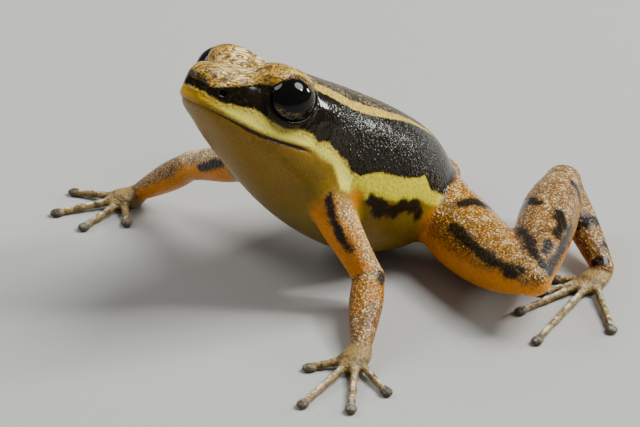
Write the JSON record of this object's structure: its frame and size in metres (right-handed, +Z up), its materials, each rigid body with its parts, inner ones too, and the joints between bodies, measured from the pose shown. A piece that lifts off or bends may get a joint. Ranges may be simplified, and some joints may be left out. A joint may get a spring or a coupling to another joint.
{
  "type": "striped rocket frog model",
  "caption": "Life-size still model of a small striped rocket frog, resting on its four feet with its chest and head raised.",
  "frame": {"origin": "on the floor, under the centre of the frog's bounding box", "axes": "+Z up, the frog faces -Y, and its left side is towards +X"},
  "size_m": [0.0318, 0.0252, 0.0154],
  "materials": {
    "head_skin": "moist fine-grained skin, bronze-tan above with a pale yellow upper lip",
    "body_skin": "moist granular skin, black-brown with pale stripes and an olive-yellow belly",
    "arm_skin": "orange skin with pale granules and a dark blotch",
    "thigh_skin": "orange-red smooth skin below, tan granular skin with dark bars above",
    "shank_skin": "tan granular skin with black blotches",
    "foot_skin": "grey-tan skin with paler discs at the tips",
    "eye": "wet glossy black with faint gold flecks"
  },
  "bodies": {
    "root": {"head": "head_skin", "torso": "body_skin", "left_eye": "eye", "right_eye": "eye", "left_upper_arm": "arm_skin", "left_forearm": "arm_skin", "left_hand": "foot_skin", "left_thigh": "thigh_skin", "left_shank": "shank_skin", "left_tarsus": "shank_skin", "left_foot": "foot_skin", "right_upper_arm": "arm_skin", "right_forearm": "arm_skin", "right_hand": "foot_skin", "right_thigh": "thigh_skin", "right_shank": "shank_skin", "right_tarsus": "shank_skin", "right_foot": "foot_skin"}
  },
  "joints": []
}
